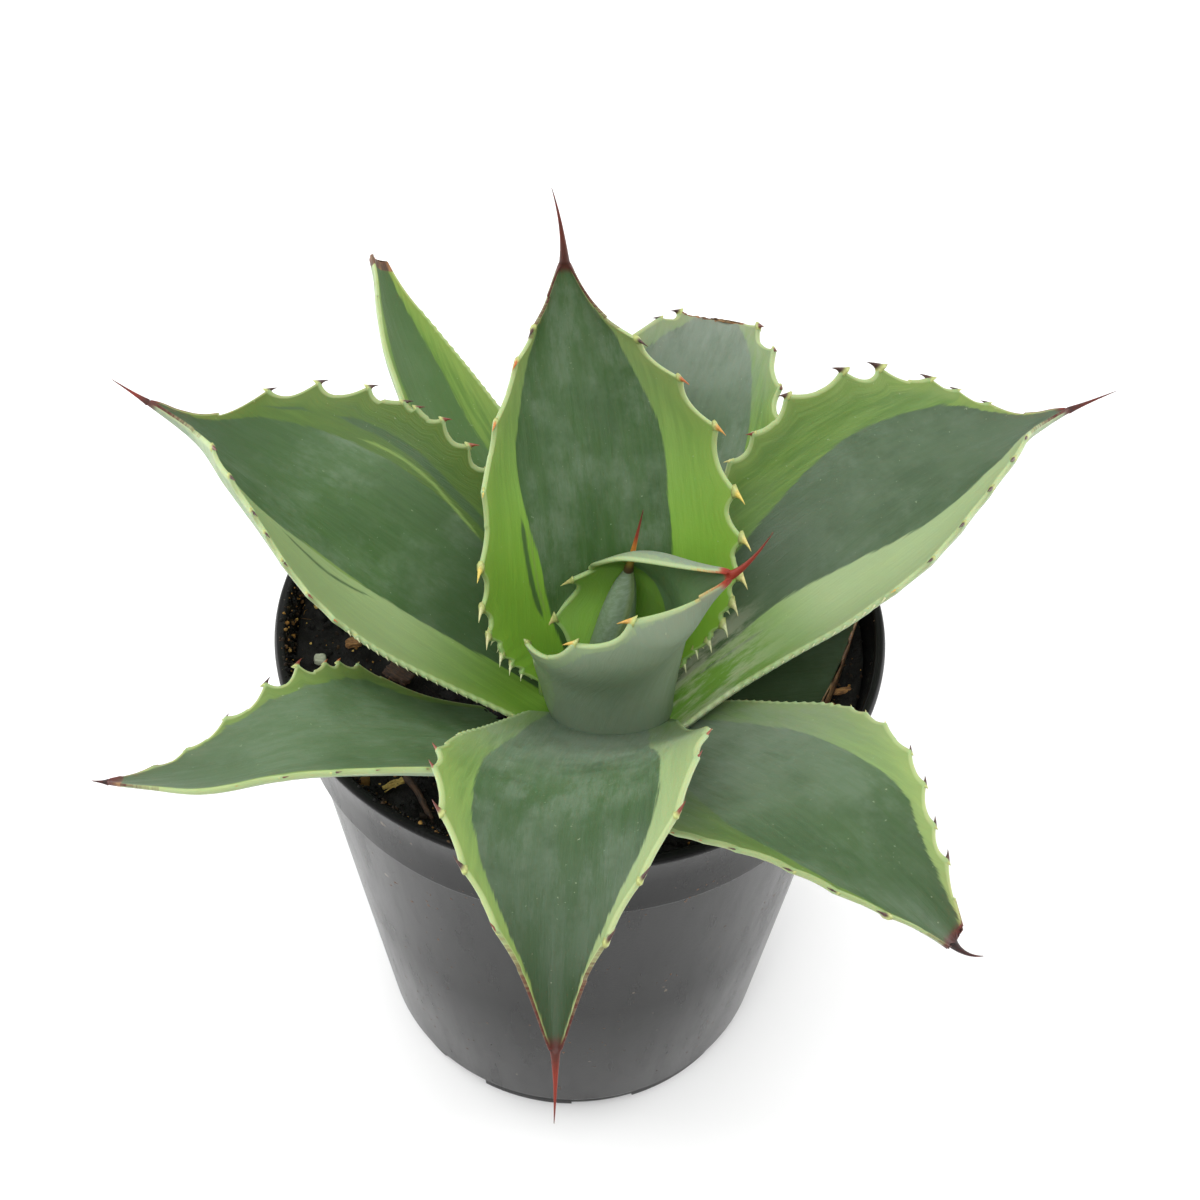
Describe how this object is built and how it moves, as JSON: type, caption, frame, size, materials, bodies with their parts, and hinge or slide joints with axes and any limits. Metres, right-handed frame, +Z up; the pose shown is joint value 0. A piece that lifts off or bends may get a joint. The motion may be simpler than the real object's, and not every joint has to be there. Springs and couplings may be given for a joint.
{
  "type": "potted agave",
  "caption": "Potted agave: a rosette of thick toothed leaves with pale margins and hard tips on a short stem, rooted in dark soil in a round tapered nursery pot.",
  "frame": {"origin": "centre of the flat pad under the pot, level with its feet", "axes": "+Z up; the front, where one leaf hangs over the rim, is towards -Y; +X to the right as seen from the front"},
  "size_m": [0.2619, 0.2717, 0.2709],
  "materials": {
    "pot_plastic": "satin dark grey moulded polypropylene, faint vertical scuffs",
    "potting_mix": "damp near-black peat and bark crumbs with brown fibres",
    "stem_tissue": "pale green-cream stem tissue and roots",
    "leaf_skin": "waxy blue-green leaf skin with yellow-green margins, dark teeth and red-brown spines",
    "bark_litter": "dry red-brown bark and splinters",
    "dry_litter": "dry tan husk, fibre and a pale granule"
  },
  "bodies": {
    "root": {"nursery_pot": "pot_plastic", "potting_soil": "potting_mix", "stem_and_roots": "stem_tissue", "leaf_bud": "leaf_skin", "leaf_inner_folded": "leaf_skin", "leaf_back": "leaf_skin", "leaf_front": "leaf_skin", "leaf_right": "leaf_skin", "leaf_left": "leaf_skin", "leaf_front_right": "leaf_skin", "leaf_front_left": "leaf_skin", "leaf_back_right": "leaf_skin", "leaf_back_left": "leaf_skin", "leaf_low_right": "leaf_skin", "bark_chip_left": "bark_litter", "bark_chip_edge": "bark_litter", "twig_front": "bark_litter", "splinter_right": "bark_litter", "pale_granule": "dry_litter", "seed_husk": "dry_litter", "fibre_tuft": "dry_litter"}
  },
  "joints": []
}
